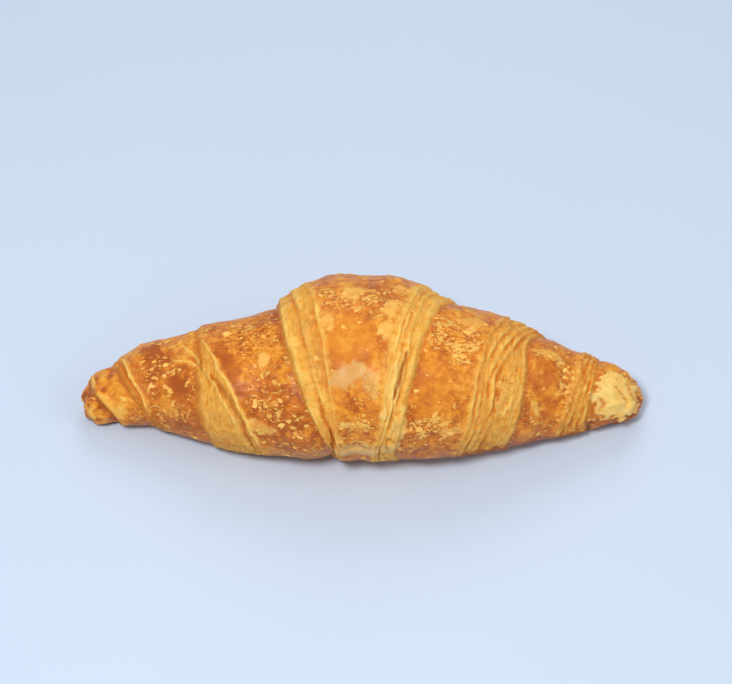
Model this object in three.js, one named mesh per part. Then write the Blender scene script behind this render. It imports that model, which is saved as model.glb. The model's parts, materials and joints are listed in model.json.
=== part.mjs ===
// A croissant: one baked piece, rolled up from a triangle of layered dough.
//
// It lies along X on its flat base, with its front towards -Y. Seen round a section, 0 degrees is the front,
// 90 the top, 180 the back and 270 the base. The rolled triangle shows as a middle panel and, on each side of
// it, a row of wraps. The edge of each wrap is a sloping band of layers: it starts at the wrap's rim, steps
// down outwards, and ends at its foot, in the crease where the next wrap comes out from under it.

import * as THREE from "three";

// Driving dimensions, in millimetres.
const HALF_LENGTH = 85;
const TIP_ROUNDING = { left: 5.5, right: 9 }; // length of the blunt rounding at each tip
const SECTION_TOP = 0.54; // share of a section's height above its widest line
const SECTION_SAG = 0.56; // how far a section would reach below that line if the base didn't cut it off
const BASE_FADE = { from: 30, to: 70 }; // degrees away from straight down between which the wraps come in

// Half of the body's width at points along X.
const HALF_WIDTH = [
  [-85, 6.7], [-80, 7.3], [-76, 8.5], [-67, 12.1], [-59, 13.8], [-50, 16.9], [-40, 19.8], [-30, 21.9],
  [-22, 24.9], [-16, 26.8], [-10, 28.2], [0, 28.5], [9, 28.6], [18, 26.6], [30, 23.3], [42, 20.1],
  [54, 16.1], [63, 12.9], [72, 10.7], [80, 8.2], [85, 6.6],
];
// Height as a share of width, and how far the middle line lies from the straight axis, along X.
const HEIGHT_SHARE = [[-85, 0.92], [-40, 0.85], [0, 0.79], [40, 0.85], [85, 0.92]];
const BEND = [
  [-85, -1.4], [-80, -1], [-74, 0.4], [-62, 1.4], [-40, -3], [-25, -2.2], [-16, -1.7], [-8, -0.1], [0, 0.2],
  [20, -2.1], [42, -2.8], [54, -1.2], [64, -1.8], [74, -0.6], [85, -1.2],
];

// Angles round the section, in degrees, at which each wrap's foot and band are given.
const STATIONS = [-35, 20, 60, 100, 147, 235];
// Each wrap's side, the distance of its foot from the middle, the width of its band, how far its rim rises
// above the body's line, how far the crease at its foot dips below it, and the share of that climb which the
// thick lip at its foot makes at once. From the middle out on each side.
const WRAPS = [
  {
    side: -1,
    foot: [8.2, 15, 20.8, 24.3, 25.4, 31],
    band: [1.7, 6.8, 10.5, 10.9, 8, 6],
    rise: 1.6, dip: 2, lip: 0.8,
  },
  {
    side: -1,
    foot: [45, 48.5, 48.6, 49.5, 50.2, 53],
    band: [17, 14, 8.6, 2.7, 1.7, 3],
    rise: 1, dip: 1.2, lip: 0.3,
  },
  {
    side: -1,
    foot: [64, 66.7, 70.8, 74, 75.8, 77.5],
    band: [5.3, 2.5, 2.8, 3, 2.8, 2.5],
    rise: 0.8, dip: 0.9, lip: 0.3,
  },
  {
    side: -1,
    foot: [73, 76, 80, 82.2, 82.8, 83],
    band: [1, 1, 1, 1, 1, 1],
    rise: 0.7, dip: 0.8, lip: 0.4,
  },
  {
    side: 1,
    foot: [9.5, 12.2, 16, 21, 28, 35],
    band: [5.5, 6.7, 8.5, 9, 9.5, 7],
    rise: 1, dip: 1.1, lip: 0.4,
  },
  {
    side: 1,
    foot: [43.3, 46.2, 48.2, 49.5, 55, 60],
    band: [15.8, 15.4, 14.7, 11, 11, 10],
    rise: 0.9, dip: 1.2, lip: 0.3,
  },
  {
    side: 1,
    foot: [62, 65.2, 68.4, 70, 71.5, 73],
    band: [5, 5.2, 5.7, 5, 4, 4],
    rise: 0.8, dip: 1, lip: 0.3,
  },
];
const RIM_FADE = 11; // length over which a rim's rise dies away towards the middle
const CREASE_FADE = 4; // length over which a crease's dip dies away towards the tip
const LIP_RUN = 0.5; // length over which a lip climbs

// Mesh density.
const ROWS = 60;
const SPANS = { tip: 7, face: 4, band: 3, lip: 1 }; // columns between two neighbouring lines of the wraps

const clamp = (value, low, high) => Math.min(high, Math.max(low, value));
const radians = THREE.MathUtils.degToRad;

// A smooth curve through (x, value) points, by cubic Hermite pieces. Past its ends it keeps its end values.
function curve(points, x) {
  const last = points.length - 1;
  const at = clamp(x, points[0][0], points[last][0]);
  const i = Math.max(1, points.findIndex(([px]) => px >= at));
  const slope = (k) => {
    const [x0, y0] = points[Math.max(0, k - 1)];
    const [x1, y1] = points[Math.min(last, k + 1)];
    return (y1 - y0) / (x1 - x0);
  };
  const [xa, ya] = points[i - 1];
  const [xb, yb] = points[i];
  const h = xb - xa;
  const t = (at - xa) / h;
  const a = ya * (1 + 2 * t) * (1 - t) ** 2 + yb * t * t * (3 - 2 * t);
  return a + slope(i - 1) * h * t * (1 - t) ** 2 - slope(i) * h * t * t * (1 - t);
}

// A value given at the stations, carried smoothly round the whole section.
function round(values, angle) {
  const n = STATIONS.length;
  const turns = [-1, 0, 1].flatMap((turn) =>
    values.map((value, i) => [STATIONS[i] + 360 * turn, value]),
  );
  return curve(turns.slice(n - 2, 2 * n + 2), angle);
}

// How strongly the wraps show at an angle: fully on the front, top and back, and not on the base.
function showing(angle) {
  const fromBase = Math.abs(angle - 270);
  const away = Math.min(fromBase, 360 - fromBase);
  return THREE.MathUtils.smoothstep(away, BASE_FADE.from, BASE_FADE.to);
}

// How far up its climb a wrap's edge is, from 0 in the crease to 1 on the rim.
function climb(wrap, band, inwards) {
  if (inwards < LIP_RUN) return (wrap.lip * inwards) / LIP_RUN;
  return THREE.MathUtils.lerp(wrap.lip, 1, (inwards - LIP_RUN) / (band - LIP_RUN));
}

// The height of the wraps' relief over the body's line, at one place along X and one angle.
function relief(x, angle) {
  let height = 0;
  for (const wrap of WRAPS) {
    const out = wrap.side * x - round(wrap.foot, angle);
    const band = round(wrap.band, angle);
    const rim = wrap.rise * Math.exp(Math.min(0, (out + band) / RIM_FADE));
    const crease = -wrap.dip * Math.exp(Math.min(0, -out / CREASE_FADE));
    if (out < -band) height += wrap.side * x > 0 ? rim : 0;
    else if (out > 0) height += crease;
    else height += THREE.MathUtils.lerp(-wrap.dip, wrap.rise, climb(wrap, band, -out));
  }
  return height * showing(angle);
}

// 1 along the body, falling to 0 at each tip as the end of an ellipse does.
function blunt(x) {
  const rounding = x < 0 ? TIP_ROUNDING.left : TIP_ROUNDING.right;
  const past = clamp((Math.abs(x) - HALF_LENGTH + rounding) / rounding, 0, 1);
  return Math.sqrt(1 - past * past);
}

// The point of the surface at one place along X and one angle round the section.
function surface(x, angle) {
  const width = curve(HALF_WIDTH, x);
  const height = 2 * width * curve(HEIGHT_SHARE, x);
  const widest = height * (1 - SECTION_TOP);
  const raised = relief(x, angle);
  const across = Math.cos(radians(angle));
  const up = Math.sin(radians(angle));
  const reach = height * (up > 0 ? SECTION_TOP : SECTION_SAG);
  const y = curve(BEND, x) - (width + raised) * blunt(x) * across;
  const z = widest + (reach + raised) * blunt(x) * up;
  return new THREE.Vector3(x, y, Math.max(0, z));
}

// The lines that the mesh follows on one side at one angle, from the middle out, each with the kind of
// surface that lies on its inner side.
function lines(side, angle) {
  return WRAPS.filter((wrap) => wrap.side === side).flatMap((wrap) => {
    const foot = round(wrap.foot, angle);
    return [
      { x: side * (foot - round(wrap.band, angle)), inner: "face" },
      { x: side * (foot - LIP_RUN), inner: "band" },
      { x: side * foot, inner: "lip" },
    ];
  });
}

// The places along X of the mesh's columns at one angle, between the two tips.
function columns(angle) {
  const left = lines(-1, angle).reverse();
  const right = lines(1, angle);
  const keys = [-HALF_LENGTH, ...[...left, ...right].map((line) => line.x), HALF_LENGTH];
  const inner = [...left, ...right.slice(1)].map((line) => line.inner);
  const kinds = ["tip", ...inner, "tip"];
  const places = kinds.flatMap((kind, k) =>
    Array.from({ length: SPANS[kind] }, (_, i) => {
      const t = i / SPANS[kind];
      const leftTip = kind === "tip" && k === 0;
      const rightTip = kind === "tip" && k > 0;
      const eased = leftTip ? t * t : rightTip ? t * (2 - t) : t;
      return THREE.MathUtils.lerp(keys[k], keys[k + 1], eased);
    }),
  );
  return places.slice(1);
}

// The closed surface: a ring of points at each column, and one point at each tip.
function body() {
  const rings = Array.from({ length: ROWS }, (_, row) => {
    const angle = STATIONS[0] + (360 * row) / ROWS;
    return columns(angle).map((x) => surface(x, angle));
  });
  const count = rings[0].length;
  const points = rings.flat();
  const leftTip = points.push(surface(-HALF_LENGTH, 0)) - 1;
  const rightTip = points.push(surface(HALF_LENGTH, 0)) - 1;
  const faces = [];
  for (let row = 0; row < ROWS; row += 1) {
    const here = row * count;
    const next = ((row + 1) % ROWS) * count;
    faces.push(leftTip, here, next);
    faces.push(rightTip, next + count - 1, here + count - 1);
    for (let i = 0; i + 1 < count; i += 1) {
      faces.push(here + i, next + i + 1, next + i);
      faces.push(here + i, here + i + 1, next + i + 1);
    }
  }
  const geometry = new THREE.BufferGeometry().setFromPoints(points);
  geometry.setIndex(faces);
  return geometry;
}

// Moves a geometry so that the middle of its underside is at the origin.
function standOnOrigin(geometry) {
  geometry.computeBoundingBox();
  const { min, max } = geometry.boundingBox;
  return geometry.translate(-(min.x + max.x) / 2, -(min.y + max.y) / 2, -min.z);
}

const crust = new THREE.MeshStandardMaterial({ color: 0xd98a35, roughness: 0.5, metalness: 0 });
const croissant = new THREE.Mesh(standOnOrigin(body()), crust);
croissant.name = "croissant";

const part = new THREE.Group();
part.add(croissant);

export default part;
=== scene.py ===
import json
import math

import bmesh
import bpy
import numpy as np
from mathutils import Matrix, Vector

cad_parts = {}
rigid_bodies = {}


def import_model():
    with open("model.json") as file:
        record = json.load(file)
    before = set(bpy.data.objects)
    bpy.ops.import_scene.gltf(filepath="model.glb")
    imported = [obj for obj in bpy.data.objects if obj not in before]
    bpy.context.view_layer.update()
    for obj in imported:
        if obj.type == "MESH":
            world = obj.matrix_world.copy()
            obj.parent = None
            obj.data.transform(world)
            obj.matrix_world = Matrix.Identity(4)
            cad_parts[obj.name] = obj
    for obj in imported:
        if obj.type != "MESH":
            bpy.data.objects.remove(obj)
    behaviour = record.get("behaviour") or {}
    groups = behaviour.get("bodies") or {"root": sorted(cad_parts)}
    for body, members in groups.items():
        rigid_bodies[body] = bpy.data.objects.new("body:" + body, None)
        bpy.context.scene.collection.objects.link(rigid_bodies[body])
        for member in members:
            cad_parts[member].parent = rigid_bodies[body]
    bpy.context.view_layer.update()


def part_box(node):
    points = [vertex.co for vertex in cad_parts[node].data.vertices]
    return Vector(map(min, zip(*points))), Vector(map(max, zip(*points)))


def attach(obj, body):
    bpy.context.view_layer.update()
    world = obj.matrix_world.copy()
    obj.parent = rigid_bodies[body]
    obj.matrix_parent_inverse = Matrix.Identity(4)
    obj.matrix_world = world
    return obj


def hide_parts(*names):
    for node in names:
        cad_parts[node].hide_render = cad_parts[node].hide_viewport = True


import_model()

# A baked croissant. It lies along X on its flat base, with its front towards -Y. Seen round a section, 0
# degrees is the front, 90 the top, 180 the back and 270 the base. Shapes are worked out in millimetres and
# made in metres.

bl_info = {
    "name": "Croissant",
    "version": (1, 0, 0),
    "blender": (4, 5, 0),
    "location": "View3D > Sidebar > Croissant",
    "description": "Bakes a layered croissant round its fixed solid",
    "category": "Add Mesh",
}

NODE = "croissant"
BODY = "root"
LOW, HIGH = (Vector(corner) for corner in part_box(NODE))
MM = 0.001

# The body's form: the same driving dimensions as the solid's, in millimetres.
HALF_LENGTH = 85
TIP_ROUNDING = {-1: 5.5, 1: 9}  # length of the blunt rounding at each tip
SECTION_TOP = 0.54  # share of a section's height above its widest line
SECTION_SAG = 0.56  # how far a section would reach below that line if the base didn't cut it off
BASE_FADE = (30, 70)  # degrees away from straight down between which the wraps come in
# Half of the body's width at places along X.
HALF_WIDTH = [
    (-85, 6.7), (-80, 7.3), (-76, 8.5), (-67, 12.1), (-59, 13.8), (-50, 16.9), (-40, 19.8), (-30, 21.9),
    (-22, 24.9), (-16, 26.8), (-10, 28.2), (0, 28.5), (9, 28.6), (18, 26.6), (30, 23.3), (42, 20.1),
    (54, 16.1), (63, 12.9), (72, 10.7), (80, 8.2), (85, 6.6),
]
# Height as a share of width, and how far the middle line lies from the straight axis, along X.
HEIGHT_SHARE = [(-85, 0.92), (-40, 0.85), (0, 0.79), (40, 0.85), (85, 0.92)]
BEND = [
    (-85, -1.4), (-80, -1), (-74, 0.4), (-62, 1.4), (-40, -3), (-25, -2.2), (-16, -1.7), (-8, -0.1),
    (0, 0.2), (20, -2.1), (42, -2.8), (54, -1.2), (64, -1.8), (74, -0.6), (85, -1.2),
]
STATIONS = [-35, 20, 60, 100, 147, 235]  # the angles at which the wraps' lists give their values
# Each wrap, from the middle out on each side. A list of six gives a value at each station, and one number
# holds all round.
# - foot, band, rise, dip and lip mean what they do in the solid, and most have its values: how far out the
#   wrap's foot lies, how wide its band of layers is, how high its rim stands, how deep the crease at its
#   foot is, and the share of that climb which its lip makes.
# - strength is a factor on how far it steps, and ease the length over which its lip is rounded.
# - line is how dark the painted shade in its crease is, and the next how strongly its foot is darkened with
#   painted shade.
# - roll is how broadly the edges of its leaves are rounded, sheets how strong their fine lines are, and pale
#   how much paler than the crust they have stayed.
# - leaves lists its further leaves: how far across the band each one's edge lies, from the foot at 0 to the
#   rim at 1, how strongly the valley along it is darkened with stain and painted shade, and how wide that
#   valley is.
WRAPS = [
    dict(
        side=-1, foot=[8.2, 15, 20.8, 24.3, 25.4, 31], band=[1.7, 6.8, 10.5, 10.9, 8, 6], rise=1.6, dip=2.0,
        lip=0.7, strength=[1, 0.8, 0.75, 1.12, 1.05, 1], ease=[1.3, 1.3, 1.3, 0.5, 0.6, 1], line=0.05,
        foot_shade=0.2, roll=2.6, sheets=0.25, pale=0.9,
        leaves=[([0.5, 0.5, 0.5, 0.47, 0.45, 0.5], 0.5, 0.8), (0.88, 0.5, 0.6)],
    ),
    dict(
        side=-1, foot=[45, 48.5, 48.6, 49.5, 50.2, 53], band=[17, 14, 8.6, 2.7, 1.7, 3], rise=1.0, dip=1.2,
        lip=0.3, strength=[1, 1, 0.9, 0.65, 0.5, 0.6], ease=1.5, line=0.3,
        foot_shade=0.6, roll=1.2, sheets=0.7, pale=0.8,
        leaves=[],
    ),
    dict(
        side=-1, foot=[64, 66.7, 70.8, 74, 75.8, 77.5], band=[5.3, 2.5, 2.8, 3, 2.8, 2.5], rise=0.8, dip=0.9,
        lip=0.3, strength=[0.9, 0.65, 0.6, 0.6, 0.6, 0.6], ease=1.1, line=0.3,
        foot_shade=0.6, roll=0.8, sheets=0.8, pale=0.4,
        leaves=[(0.3, 0.9, 0.4), (0.66, 0.9, 0.4)],
    ),
    dict(
        side=-1, foot=[73, 76, 80, 82.2, 82.8, 83], band=[1, 1, 1, 1, 1, 1], rise=1.0, dip=1.0,
        lip=0.5, strength=1, ease=0.4, line=0.7,
        foot_shade=0.6, roll=0.8, sheets=0.3, pale=0.4,
        leaves=[],
    ),
    dict(
        side=1, foot=[11.3, 12.4, 16, 21, 28, 35], band=[7.3, 6.9, 8.5, 9, 9.5, 7], rise=1.0, dip=1.1,
        lip=0.4, strength=1, ease=1.3, line=0.06,
        foot_shade=0.2, roll=1.4, sheets=0.55, pale=1.0,
        leaves=[
            ([0.5, 0.42, 0.38, 0.48, 0.52, 0.5], 0.35, 0.5), ([0.78, 0.66, 0.6, 0.66, 0.7, 0.7], 0.3, 0.4),
            ([0.9, 0.86, 0.8, 0.82, 0.84, 0.84], 0.3, 0.4),
        ],
    ),
    dict(
        side=1, foot=[43.3, 46.2, 48.2, 49.5, 55, 60], band=[15.8, 15.4, 14.7, 11, 11, 10], rise=0.9,
        dip=1.2, lip=0.35, strength=1, ease=0.9, line=0.2,
        foot_shade=0.6, roll=1.1, sheets=0.7, pale=0.9,
        leaves=[
            ([0.55, 0.55, 0.6, 0.25, 0.1, 0.3], 1.1, 0.8), ([0.7, 0.7, 0.74, 0.45, 0.3, 0.45], 1.0, 0.5),
            ([0.83, 0.83, 0.86, 0.66, 0.56, 0.6], 0.8, 0.4), (0.95, 0.8, 0.5),
        ],
    ),
    dict(
        side=1, foot=[67, 67, 68.4, 70, 71.5, 73], band=[9, 7.2, 5.7, 5, 4, 4], rise=0.8, dip=1.0,
        lip=0.35, strength=1, ease=0.7, line=0.3,
        foot_shade=0.6, roll=0.8, sheets=0.7, pale=0.75,
        leaves=[(0.34, 1.1, 0.5), (0.64, 1.1, 0.5), (0.9, 0.9, 0.5)],
    ),
]
RIM_FADE = 11  # length over which a rim's rise dies away towards the middle
CREASE_FADE = 4  # length over which a crease's dip dies away towards the tip
MIDDLE_BLEND = 4  # half the length, at the middle, over which one side's rims give way to the other's
STEP_SHARE = 0.6  # share of the climb above a wrap's lip that its further leaves make in steps
LEAF_EASE = 0.5  # length over which a further leaf's edge is rounded
LEAF_GAP = 0.5  # length over which the gap under a leaf's edge fades outwards
HANG_FADE = 0.8  # length over which a leaf's overhang fades inwards
# Painted shade: a dark line is drawn into each crease, this wide.
CREASE_WIDTH = 0.35  # half width of the dark line in a crease
FOOT_WANDER = 0.55  # how far a wrap's foot strays from its smooth line
LEAF_WANDER = 0.6  # how far a further leaf's edge strays
SETTLE = 0.2  # how far the whole relief is set in
BASE_ROUNDING = 0.5  # how softly the sides turn into the flat base, in square millimetres
HOLLOW_REACH = (28, 4)  # how many times the surface is evened out, along X and round, to find its hollows
TIP_LUMPS = (72, 83)  # distances from the middle between which the tips' lumps come in
TIP_RAGGED = (79, 84)  # and between which their ends turn ragged
NOISE_GAIN = 1.6  # brings gradient noise to about -1 to 1

# How far the crust is baked, from 0 to 1, and what each thing adds to that or takes from it. The hollow and
# low terms add painted shade to it instead, and so do two of the deep and scorch marks.
MEAN_BAKE = 0.51
TOP_BROWNING = 0.05
BROAD_BROWNING = 0.13
PATCH_BROWNING = 0.16
SPOT_BROWNING = 0.08
DEEP_BROWNING_AND_SHADE = 0.55
GOLD_PALING = 0.25
UNDER_BROWNING = 0.22
CROWD_BROWNING = 0.06
# Painted shade: the crust is drawn darker in the hollows of its relief.
HOLLOW_SHADE = 0.7
SCORCH_BROWNING_AND_SHADE = 0.5
TIP_BROWNING = 0.05
# Painted shade: the crust is drawn darker low on its front side, where the light from above falls less.
LOW_SIDE_SHADE = 0.2

# Columns between two neighbouring lines of the wraps, from the left tip to the right one, and rows round the
# section: close together where the crust shows, and further apart on the base.
SPANS = [18, 6, 18, 16, 36, 44, 48, 44, 64, 36, 42, 56, 28, 22, 38]
SHOWN_ROWS = (-40, 200, 155)
BASE_ROWS = (200, 320, 35)

# Marks that the oven left, by kind. Each has its place along X, its angle, its half length along X, its
# half width round the section, its tilt in degrees and its strength.
# - pale is a lifted scale, cloud a whitish film, and cream dough that stayed pale.
# - deep is browner crust, scorch the same with a crisp edge, and gold less baked crust. But one deep and one
#   scorch mark, low on the front right, are painted shade where the underside meets the table.
# - smooth keeps the crust calm, and ripples, flecks and specks bring those to it.
MARKS = {
    "pale": [
        (-3, 107, 4.0, 2.8, 10, 0.8), (-10, 83, 2.2, 3.0, 0, 0.7), (-2, 15.5, 4.2, 1.0, 0, 0.7),
        (8.6, 94, 2.2, 3.6, -15, 0.8), (6.4, 77, 2.6, 2.8, -15, 0.8), (11.2, 112, 2.2, 3, 0, 0.6),
        (-29, 70, 1.8, 2.4, 0, 0.8), (-30, 15, 5.5, 1.8, -25, 0.7), (32.7, 104, 4.5, 2.2, 15, 0.5),
        (27, 13, 3.4, 1.2, 0, 0.6), (50.6, 31, 0.9, 3.4, 18, 0.8), (55, 92, 4, 1.6, 0, 0.6),
    ],
    "deep": [
        # Painted shade: the mark at 34 mm and -30 degrees darkens the crust low on the front right, where
        # the underside meets the table.
        (-3, 31, 4.4, 3.6, 0, 0.34), (34, -30, 16, 4.4, 0, 1), (-14.2, 72, 2.4, 14, 14, 0.35),
        (-1, 82, 6, 4, 0, 0.14), (-28, 117, 4, 6, 0, 0.4), (-39.0, 68, 3.0, 12, 22, 0.55),
        (-33, 40, 3, 7, 25, 0.3), (-22, 1, 9, 4, 0, 0.4), (-25, 27, 9, 11, 0, 0.55),
        (-57, 0, 9, 5, 0, 0.4), (-61.5, 82, 4, 6, 0, 0.8), (-55, 44, 5, 9, 20, 0.45),
        (-61, 66, 3, 6, 0, 0.4), (-45, 120, 3, 4, 0, 0.3), (-58, 56, 6, 10, 0, 0.42),
        (-50.5, 5, 5, 5, -25, 0.5), (-79, 28, 1.8, 3.4, 30, 0.6), (-82, 55, 1.6, 3.4, 0, 0.25),
        (-68.5, 52, 2.2, 9, 25, 0.3), (55.4, 60, 6, 13, 0, 0.28), (49, 20, 2.8, 6, 0, 0.3),
        (84.4, 70, 1.4, 4, 0, 0.35), (80, 103, 4, 1.4, 0, 0.4), (77, -6, 7, 3.4, 0, 0.9),
        (20, 200, 16, 9, 0, 0.3), (-45, 170, 8, 8, 0, 0.4),
    ],
    "scorch_and_shade": [
        # Painted shade: the mark at 54 mm and -29 degrees darkens the crust low on the front right, where
        # the underside meets the table.
        (54, -29, 12, 3.4, 0, 0.9), (-63.2, 103, 3.8, 4.2, 0, 0.75), (-54.2, 44, 2.6, 4.6, 20, 0.32),
        (-84, 78, 2, 5.4, 0, 0.8), (-85, 30, 1, 4, 0, 0.6), (84.6, 40, 1.2, 5, 0, 0.5),
    ],
    "cloud": [
        (-5.4, 48, 4.0, 3.8, 20, 0.85), (-1.6, 52, 3.0, 3.0, 0, 0.9), (2.4, 44, 2.2, 4.4, 10, 0.6),
        (0, -8, 11, 3.4, 0, 0.95), (-30, 195, 5, 5, 0, 0.4),
    ],
    "gold": [
        (4.6, 44, 2.6, 5.5, 0, 0.6), (4.4, 55, 2.2, 6.5, -5, 0.7), (-27, 84, 5, 7, 20, 0.4),
        (-52.5, 98, 4, 6, 0, 0.9), (-58, 22, 4, 4, 0, 0.5), (-74, 42, 5.6, 7.5, 0, 0.85),
        (-81.5, 20, 3.5, 6, 0, 1), (56.3, 45, 2.2, 2.2, 0, 1), (77, 60, 10, 14, 0, 0.7),
    ],
    "cream": [
        (10.4, 10, 2.4, 9, -8, 0.65), (8.4, 40, 1.9, 11, -14, 0.6), (2, -10, 8, 1.8, 0, 0.5),
        (75.9, 43, 7.3, 8.2, 0, 1), (71.6, 36, 2.6, 6, -10, 0.8),
    ],
    "smooth": [
        (-4, 66, 10, 13, 0, 1), (-38.6, 66, 2.8, 11, 22, 0.9), (-54.2, 46, 2.8, 4.6, 20, 1),
        (-74, 45, 5.6, 9, 0, 0.6), (20.5, 47, 6.5, 9, 0, 0.75), (54, 54, 6, 9, 0, 0.6),
    ],
    "ripples": [
        (0, -4, 13, 4, 0, 1), (-33, 98, 9, 9, 0, 1),
    ],
    "flecks": [
        (-2, 98, 12, 7, 0, 0.8), (-1, 14, 6, 3.4, 0, 0.9), (-24, 24, 10, 8, 0, 0.2),
        (-60, 78, 3.4, 4, 0, 0.3), (-58.6, 62, 4.4, 6, 0, 0.25), (26, 86, 8, 8, 0, 1),
        (20, 14, 8, 4.4, 0, 0.8), (42, 38, 3.4, 9, -10, 0.8), (60.5, 62, 3, 8, 0, 0.8),
        (18, 100, 5, 6, 0, 1), (80, 68, 5, 7, 0, 1), (10, 170, 18, 12, 0, 1), (44, 160, 7, 6, 0, 0.7),
    ],
    "specks": [
        (-24, 22, 11, 12, 0, 1), (-57, 32, 6, 12, 0, 0.8), (55, 50, 7, 12, 0, 0.6),
        (-12, 165, 14, 9, 0, 1), (0, 130, 70, 7, 0, 0.5),
    ],
}
SOFT_KINDS = ("deep", "gold", "smooth", "flecks", "ripples", "specks")
SOFT_EDGE = (0.65, 1.2)  # shares of a mark's size between which it fades, for the soft kinds
CRISP_EDGE = (0.88, 1.06)  # and for the others

# Lines drawn in the dough: kind, path as places along X and angles, half width, and how far it stands up. A
# "cut" carries painted shade, a "valley" stain and painted shade and a "ridge" pale, and a "dent" only
# changes the shape.
STROKES = [
    ("cut", [(8.9, 36), (10.9, 49), (12.9, 66)], 0.55, -0.9),
    ("valley", [(-12.4, 36), (-10.9, 24), (-9.2, 10), (-8.2, -6)], 0.9, -0.4),
    ("cut", [(-9.5, 13), (-8.2, -2), (-8.4, -14)], 0.55, -0.7),
    ("cut", [(-47.8, 76), (-47.2, 67)], 0.6, -0.6),
    ("valley", [(-49.6, 120), (-48.8, 95), (-47.4, 74)], 1.0, -0.35),
    ("ridge", [(-47.2, 70), (-45.1, 61), (-42.4, 48), (-38.7, 27), (-34, -10)], 0.5, 0.4),
    ("cut", [(-44.6, 62), (-42.2, 53), (-38.9, 40), (-35.3, 21), (-31.6, -18)], 0.9, -0.6),
    ("cut", [(67.8, -44), (67.6, -28), (67.4, -8)], 0.9, -1.2),
    ("dent", [(70.5, -36), (75, -34), (82, -30)], 2.8, -1.3),
    ("ridge", [(-81.8, 128), (-81.4, 98), (-80.8, 80)], 0.9, 0.8),
    ("ridge", [(-47.5, 101), (-45.2, 85), (-42.0, 66), (-38.0, 46), (-34.1, 22), (-30.6, -4)], 0.6, 0.35),
    ("ridge", [(-54, 104), (-50.5, 88), (-48, 74)], 0.45, 0.2),
    ("ridge", [(-56, 80), (-52, 78), (-48.3, 71)], 0.45, 0.2),
    ("valley", [(-55, 92), (-51.5, 84), (-48.4, 72)], 0.45, -0.2),
    ("valley", [(-73.5, 120), (-70.2, 72), (-67.2, 42), (-64.7, 9)], 0.7, -0.3),
    ("ridge", [(-72.4, 116), (-68.9, 66), (-65.8, 38), (-63.4, 5)], 0.45, 0.2),
    ("valley", [(-70.8, 109), (-66.5, 58), (-62.6, 23)], 0.6, -0.25),
    ("valley", [(48.9, 96), (49.4, 80), (48.9, 62)], 0.4, -0.3),
    ("valley", [(36.5, 20), (39.5, 40), (41.5, 60)], 0.5, -0.2),
    ("ridge", [(41, 24), (43.5, 40), (44.5, 58)], 1.0, 0.25),
    ("valley", [(70.5, 20), (71.8, 34), (70.9, 44)], 0.6, -0.6),
    ("valley", [(71, -12), (73, 0), (74.5, 8)], 0.6, -0.4),
    ("ridge", [(70.5, 64), (74, 56), (78, 50)], 1.1, 0.5),
    ("ridge", [(73, 30), (76, 36), (79, 40)], 1.0, 0.4),
    ("valley", [(75.5, 66), (77.5, 54), (79.5, 40)], 0.5, -0.35),
    ("valley", [(79, 78), (80.5, 60), (81.5, 46)], 0.5, -0.35),
    ("valley", [(30, 170), (27, 185)], 0.6, -0.5),
    ("valley", [(-6, -1), (-4.2, -8), (-3.4, -14)], 0.35, -0.3),
    ("valley", [(2.2, 1), (4.4, -6), (5.4, -12)], 0.35, -0.3),
    ("valley", [(-1.6, -3), (0.6, -10)], 0.3, -0.25),
    ("valley", [(7.4, 6), (6.6, -3), (7.6, -10)], 0.35, -0.3),
    ("ridge", [(-6.5, -2), (-2, 1), (3, -1), (7, 1)], 0.45, 0.3),
    ("cut", [(-81, 72), (-79.7, 56), (-77.4, 28), (-75.3, 0), (-74, -25)], 0.45, -0.5),
]


def smoothstep(low, high, value):
    t = np.clip((value - low) / (high - low), 0, 1)
    return t * t * (3 - 2 * t)


def curve(points, at):
    """A smooth curve through (place, value) points, by cubic Hermite pieces."""
    xs, ys = np.array(points, float).T
    before = np.maximum(np.arange(len(xs)) - 1, 0)
    after = np.minimum(np.arange(len(xs)) + 1, len(xs) - 1)
    slopes = (ys[after] - ys[before]) / (xs[after] - xs[before])
    at = np.clip(at, xs[0], xs[-1])
    i = np.clip(np.searchsorted(xs, at), 1, len(xs) - 1)
    h = xs[i] - xs[i - 1]
    t = (at - xs[i - 1]) / h
    ends = ys[i - 1] * (1 + 2 * t) * (1 - t) ** 2 + ys[i] * t * t * (3 - 2 * t)
    return ends + slopes[i - 1] * h * t * (1 - t) ** 2 - slopes[i] * h * t * t * (1 - t)


def around(values, angle):
    """A value given at the stations, carried smoothly round the whole section."""
    turns = [(at + 360 * turn, value) for turn in (-1, 0, 1) for at, value in zip(STATIONS, values)]
    return curve(turns, angle)


def lattice(ix, iy, iz, seed):
    """A repeatable value from 0 to 1 for each whole-number place."""
    n = ix * 73856093 ^ iy * 19349663 ^ iz * 83492791 ^ seed * 1299721
    n = (n ^ (n >> 13)) & 0x7FFFFFFF
    n = (n * 1274126177) & 0x7FFFFFFF
    return ((n ^ (n >> 15)) & 0xFFFFF) / 0xFFFFF


def noise(points, size, seed):
    """Smooth gradient noise from about -1 to 1, with lumps of about the given size or sizes."""
    p = points / np.asarray(size, float)
    cell = np.floor(p).astype(np.int64)
    f = p - cell
    w = f * f * f * (f * (f * 6 - 15) + 10)
    total = np.zeros(p.shape[:-1])
    for corner in np.ndindex(2, 2, 2):
        at = cell + corner
        ix, iy, iz = at[..., 0], at[..., 1], at[..., 2]
        slope = np.stack([lattice(ix, iy, iz, seed * 3 + k) * 2 - 1 for k in range(3)], -1)
        weight = np.prod(np.where(np.array(corner) == 1, w, 1 - w), -1)
        total += weight * np.sum(slope * (f - corner), -1)
    return total * NOISE_GAIN


def layered_noise(points, size, seed, octaves):
    """Noise with finer and fainter noise on top, each half as large as the one before."""
    size = np.asarray(size, float)
    return sum(noise(points, size / 2**k, seed + k) / 2**k for k in range(octaves))


def showing(angle):
    """How strongly the wraps show at an angle: fully on the front, top and back, and not on the base."""
    from_base = np.abs(angle - 270)
    return smoothstep(*BASE_FADE, np.minimum(from_base, 360 - from_base))


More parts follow.
